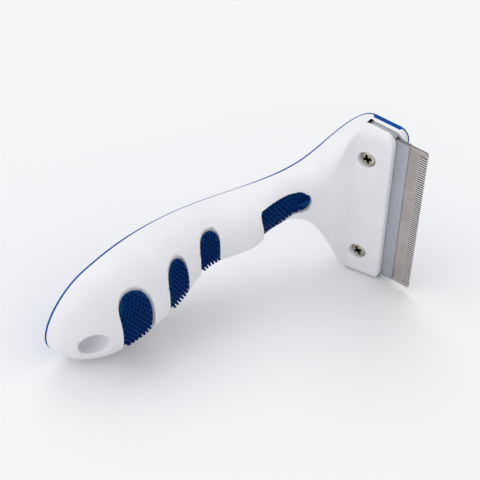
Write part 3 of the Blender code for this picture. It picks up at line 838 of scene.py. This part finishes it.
class Finish:
    """A Principled material with helpers for its procedural inputs."""

    def __init__(self, name, metallic=0.0, **sockets):
        self.material = bpy.data.materials.new(name)
        self.material.use_nodes = True
        self.tree = self.material.node_tree
        self.shader = self.tree.nodes["Principled BSDF"]
        self.shader.inputs["Metallic"].default_value = metallic
        for socket, value in sockets.items():
            self.shader.inputs[socket].default_value = value
        self.coordinates = self.tree.nodes.new("ShaderNodeTexCoord")

    def add(self, kind, **values):
        node = self.tree.nodes.new(kind)
        for key, value in values.items():
            setattr(node, key, value)
        return node

    def link(self, source, target):
        self.tree.links.new(source, target)

    def noise(self, scale, detail=3.0, roughness=0.55, stretch=(1, 1, 1), distortion=0.0):
        mapping = self.add("ShaderNodeMapping")
        mapping.inputs["Rotation"].default_value = (-LYING_TILT, 0, 0)
        mapping.inputs["Scale"].default_value = stretch
        self.link(self.coordinates.outputs["Object"], mapping.inputs["Vector"])
        node = self.add("ShaderNodeTexNoise")
        node.inputs["Scale"].default_value = scale
        node.inputs["Detail"].default_value = detail
        node.inputs["Roughness"].default_value = roughness
        node.inputs["Distortion"].default_value = distortion
        self.link(mapping.outputs["Vector"], node.inputs["Vector"])
        return node.outputs["Fac"]

    def ramp(self, source, stops):
        node = self.add("ShaderNodeValToRGB")
        elements = node.color_ramp.elements
        while len(elements) < len(stops):
            elements.new(0.5)
        for element, (position, colour) in zip(elements, stops):
            element.position = position
            element.color = (*colour, 1.0)
        self.link(source, node.inputs["Fac"])
        return node.outputs["Color"]

    def level(self, source, low, high, bottom=0.0, top=1.0):
        node = self.add("ShaderNodeMapRange")
        node.inputs["From Min"].default_value = bottom
        node.inputs["From Max"].default_value = top
        node.inputs["To Min"].default_value = low
        node.inputs["To Max"].default_value = high
        self.link(source, node.inputs["Value"])
        return node.outputs["Result"]

    def mix(self, factor, first, second):
        """Mixes two colours, each a constant or a socket."""
        node = self.add("ShaderNodeMix", data_type="RGBA")
        self.link(factor, node.inputs["Factor"])
        for socket, value in ((node.inputs[6], first), (node.inputs[7], second)):
            if isinstance(value, tuple):
                socket.default_value = (*value, 1.0)
            else:
                self.link(value, socket)
        return node.outputs[2]

    def product(self, first, second):
        node = self.add("ShaderNodeMath", operation="MULTIPLY")
        self.link(first, node.inputs[0])
        self.link(second, node.inputs[1])
        return node.outputs["Value"]

    def sum(self, first, second, weight):
        """The first value plus the weighted second one."""
        node = self.add("ShaderNodeMath", operation="MULTIPLY_ADD")
        self.link(second, node.inputs[0])
        node.inputs[1].default_value = weight
        self.link(first, node.inputs[2])
        return node.outputs["Value"]

    def colour(self, source):
        self.link(source, self.shader.inputs["Base Color"])

    def rough(self, source):
        self.link(source, self.shader.inputs["Roughness"])

    def bump(self, height, strength, distance):
        node = self.add("ShaderNodeBump")
        node.inputs["Strength"].default_value = strength
        node.inputs["Distance"].default_value = distance
        self.link(height, node.inputs["Height"])
        self.link(node.outputs["Normal"], self.shader.inputs["Normal"])

    def attribute(self, name):
        return self.add("ShaderNodeAttribute", attribute_name=name).outputs["Fac"]

    def edges(self, low, high):
        """1 on convex edges, by how pointed the surface is."""
        node = self.add("ShaderNodeNewGeometry")
        return self.level(node.outputs["Pointiness"], 0.0, 1.0, low, high)


def moulded(name, dark, light, wear_and_highlight, roughness, gloss=0.5):
    """Injection-moulded plastic: slight mottling, fine texture, edges lightened by rubbing and a painted
    highlight, faint scratches.
    """
    finish = Finish(name, **{"IOR": 1.5, "Specular IOR Level": gloss})
    broad = finish.noise(45.0, 3.0)
    fine = finish.noise(900.0, 4.0)
    base = finish.ramp(finish.sum(broad, fine, 0.15), [(0.38, dark), (0.72, light)])
    # Convex edges painted lighter: rubbing wear and a painted highlight.
    finish.colour(finish.mix(finish.edges(0.53, 0.62), base, wear_and_highlight))
    scratch = finish.noise(260.0, 6.0, 0.7, stretch=(0.15, 1.0, 2.2), distortion=0.4)
    wear = finish.sum(broad, scratch, 0.6)
    finish.rough(finish.level(wear, roughness - 0.05, roughness + 0.09, 0.5, 1.1))
    finish.bump(finish.sum(fine, finish.noise(3200.0, 2.0), 0.5), 0.05, 0.00004)
    return finish.material


def tooth_polish(finish):
    """1 on the row of teeth, 0 on the rest of the blade."""
    split = finish.add("ShaderNodeSeparateXYZ")
    finish.link(finish.coordinates.outputs["Object"], split.inputs[0])
    root = TOOL_ORIGIN.x + TOOTH_ROOT * MM
    polish = finish.level(split.outputs["X"], 0.0, 1.0, root - 0.2 * MM, root + 0.1 * MM)
    for side in (-1, 1):
        end = TOOL_ORIGIN.z + side * TOOTH_ROW * MM * math.cos(LYING_TILT)
        inside = finish.level(split.outputs["Z"], 0.0, 1.0, end, end - side * 0.1 * MM)
        polish = finish.product(polish, inside)
    return polish


def brushed(name, dark, light, roughness, teeth=False):
    """Brushed steel: long fine streaks, a slow tint, edges lightened by wear and a painted highlight,
    painted shade on marked faces, ground teeth.
    """
    finish = Finish(name, metallic=1.0)
    streaks = finish.noise(2600.0, 5.0, 0.65, stretch=(1.0, 1.0, 0.02))
    broad = finish.noise(60.0, 2.0)
    base = finish.ramp(finish.sum(streaks, broad, 0.5), [(0.45, dark), (1.0, light)])
    # Convex edges painted lighter: wear and a painted highlight.
    tint = finish.mix(finish.edges(0.52, 0.6), base, tuple(min(1.0, c * 1.25) for c in light))
    if teeth:
        tint = finish.mix(tooth_polish(finish), tint, (0.85, 0.82, 0.80))
    # Marked faces painted near black: painted shade.
    finish.colour(finish.mix(finish.attribute("painted_shade"), tint, (0.004, 0.004, 0.004)))
    finish.rough(finish.level(streaks, roughness - 0.06, roughness + 0.1, 0.3, 0.7))
    finish.bump(streaks, 0.25, 0.00002)
    return finish.material


def rubber():
    """Soft blue elastomer with painted shade on the stems of its nubs and the floor of the groove, and a
    painted highlight on the nubs' tips.
    """
    finish = Finish("soft_blue", **{"IOR": 1.5, "Specular IOR Level": 0.05})
    speckle = finish.noise(700.0, 4.0)
    height = finish.sum(finish.attribute("rise"), finish.level(speckle, -0.25, 0.25), 1.0)
    # The ramp by height paints the base teal, the stems and the groove floor dark as painted shade, and
    # the tips lighter as a painted highlight.
    finish.colour(finish.ramp(height, [(0.0, (0.0, 0.05, 0.17)), (0.12, (0.0, 0.012, 0.10)),
                                       (0.8, (0.0, 0.014, 0.12)), (1.0, (0.0, 0.03, 0.2))]))
    finish.rough(finish.level(speckle, 0.42, 0.62))
    finish.bump(finish.noise(2400.0, 3.0), 0.2, 0.00003)
    return finish.material


def nickel():
    """Worn nickel plating with edges lightened by wear and a painted highlight, and painted shade that
    turns the cross recess black.
    """
    finish = Finish("worn_nickel", metallic=1.0)
    patina = finish.noise(420.0, 5.0, 0.6)
    base = finish.ramp(patina, [(0.35, (0.30, 0.25, 0.19)), (0.62, (0.62, 0.56, 0.47))])
    # Convex edges painted lighter: wear and a painted highlight on the head's rounded rim.
    wear_and_highlight = finish.mix(finish.edges(0.52, 0.6), base, (0.85, 0.8, 0.7))
    # Marked faces of the cross recess painted near black: painted shade.
    finish.colour(finish.mix(finish.attribute("painted_shade"), wear_and_highlight, (0.012, 0.01, 0.009)))
    finish.rough(finish.level(patina, 0.5, 0.26, 0.35, 0.65))
    finish.bump(finish.noise(1800.0, 4.0), 0.25, 0.00003)
    return finish.material


# ---------------------------------------------------------------- scene

def add_object_pieces():
    white = moulded("white_shell", dark=(0.785, 0.78, 0.81), light=(0.845, 0.84, 0.87),
                    wear_and_highlight=(0.89, 0.89, 0.9), roughness=0.32)
    blue = moulded("blue_cover", dark=(0.0, 0.055, 0.30), light=(0.0, 0.078, 0.37),
                   wear_and_highlight=(0.0, 0.1, 0.40), roughness=0.5, gloss=0.03)
    soft = rubber()
    blade_steel = brushed("blade_steel", dark=(0.39, 0.35, 0.335), light=(0.58, 0.53, 0.515),
                          roughness=0.38, teeth=True)
    holder_steel = brushed("holder_sheet", dark=(0.31, 0.32, 0.35), light=(0.46, 0.475, 0.515),
                           roughness=0.42)
    plated = nickel()
    settle(shell_mesh(), white, "handle_shell", weighted=True)
    settle(cover_mesh(), blue, "back_cover")
    for name in GRIP_PADS:
        settle(pad_mesh(name), soft, name, 50.0)
    settle(blade_mesh(), blade_steel, "blade")
    settle(holder_mesh(), holder_steel, "blade_holder")
    for name, z, turn in SCREW_TURNS:
        settle(screw_mesh(z, turn), plated, name)
    for i in range(len(RIVET_Z)):
        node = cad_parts[f"blade_rivet_{i + 1}"]
        for material_slot in node.material_slots:
            material_slot.material = blade_steel


def add_floor():
    bm = bmesh.new()
    bmesh.ops.create_grid(bm, x_segments=1, y_segments=1, size=4.0)
    floor = make_object(bm, "studio_floor", 0)
    finish = Finish("studio_sweep", **{"Roughness": 0.9, "Specular IOR Level": 0.1})
    pale = [(0.3, (0.90, 0.90, 0.905)), (0.7, (0.91, 0.91, 0.915))]
    finish.colour(finish.ramp(finish.noise(3.0, 2.0), pale))
    floor.data.materials.append(finish.material)


def add_light(name, direction, energy, colour, spread):
    """A wide, far light that shines from the given direction; its spread is in degrees."""
    data = bpy.data.lights.new(name, "SUN")
    data.energy = energy
    data.color = colour
    data.angle = math.radians(spread)
    light = bpy.data.objects.new(name, data)
    towards = Vector(direction).normalized()
    light.location = towards
    light.rotation_euler = towards.to_track_quat("Z", "Y").to_euler()
    bpy.context.scene.collection.objects.link(light)


def add_lights():
    world = bpy.data.worlds.new("soft_box")
    bpy.context.scene.world = world
    world.use_nodes = True
    background = world.node_tree.nodes["Background"]
    background.inputs["Color"].default_value = (0.97, 0.98, 1.0, 1.0)
    background.inputs["Strength"].default_value = 0.785
    add_light("key", (-0.55, 0.45, 0.9), 0.5, (1.0, 0.995, 0.98), 45)
    add_light("fill", (-0.5, -0.6, 0.6), 0.65, (1.0, 0.99, 0.985), 60)


def add_camera():
    """Camera placed in the tool's frame by its position and two of its axes."""
    data = bpy.data.cameras.new("camera")
    data.sensor_width = 36.0
    data.lens = CAMERA_LENS
    data.clip_start = 0.01
    data.clip_end = 20.0
    camera = bpy.data.objects.new("camera", data)
    bpy.context.scene.collection.objects.link(camera)
    right = Vector(CAMERA_RIGHT).normalized()
    forward = Vector(CAMERA_FORWARD)
    forward = (forward - right * forward.dot(right)).normalized()
    up = right.cross(forward)
    turn = Matrix((right, up, -forward)).transposed().to_4x4()
    tilt = Matrix.Rotation(LYING_TILT, 4, "X")
    camera.matrix_world = Matrix.Translation(TO_WORLD @ Vector(CAMERA_PLACE)) @ tilt @ turn
    bpy.context.scene.camera = camera


def main():
    add_object_pieces()
    add_floor()
    add_lights()
    add_camera()
    scene = bpy.context.scene
    scene.view_settings.view_transform = "Standard"
    scene.view_settings.look = "None"


main()
